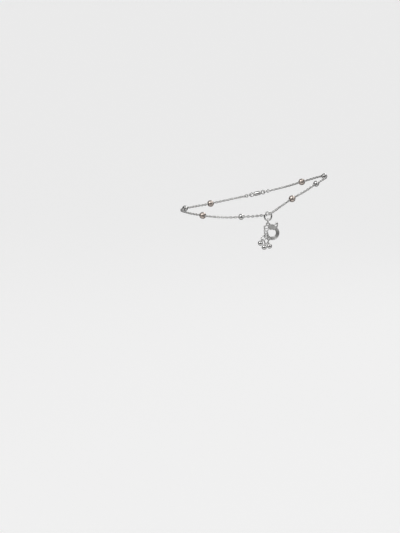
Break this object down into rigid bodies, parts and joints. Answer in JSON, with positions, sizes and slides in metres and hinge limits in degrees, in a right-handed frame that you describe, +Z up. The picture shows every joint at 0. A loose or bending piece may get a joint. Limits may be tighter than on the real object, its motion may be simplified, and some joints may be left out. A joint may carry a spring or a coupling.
{
  "type": "payal anklet",
  "caption": "Fine cable-chain anklet with round beads and a pierced silver charm that swings from a jump ring and carries small round bells.",
  "frame": {"origin": "the centre of the ankle opening, inside the loop of chain, where an ankle sits", "axes": "+X towards the heel, +Y across the ankle away from the charm, +Z up the leg"},
  "size_m": [0.088, 0.0659, 0.0413],
  "materials": {
    "silver": "polished sterling silver",
    "rose_gold": "polished, pale rose-gold plate",
    "dark_silver": "cast silver, darkened in its recesses"
  },
  "bodies": {
    "anklet": {"bead_rose_1": "rose_gold", "bead_rose_2": "rose_gold", "bead_rose_3": "rose_gold", "bead_rose_4": "rose_gold", "bead_silver_1": "silver", "bead_silver_2": "silver", "bead_silver_3": "silver", "bead_silver_4": "silver", "chain": "silver", "charm_ring": "silver", "clasp": "silver", "clasp_ring_a": "silver", "clasp_ring_b": "silver"},
    "pendant": {"bell_left": "silver", "bell_link": "silver", "bell_middle": "silver", "bell_right": "silver", "bell_ring_left": "silver", "bell_ring_right": "silver", "charm": "dark_silver", "connector_ring": "silver"}
  },
  "joints": [
    {"name": "charm_swing", "type": "hinge", "parent": "anklet", "child": "pendant", "pos_m": [0.00788, -0.03075, -0.01204], "axis": [1, 0, 0], "range_deg": [-70, 70]}
  ]
}
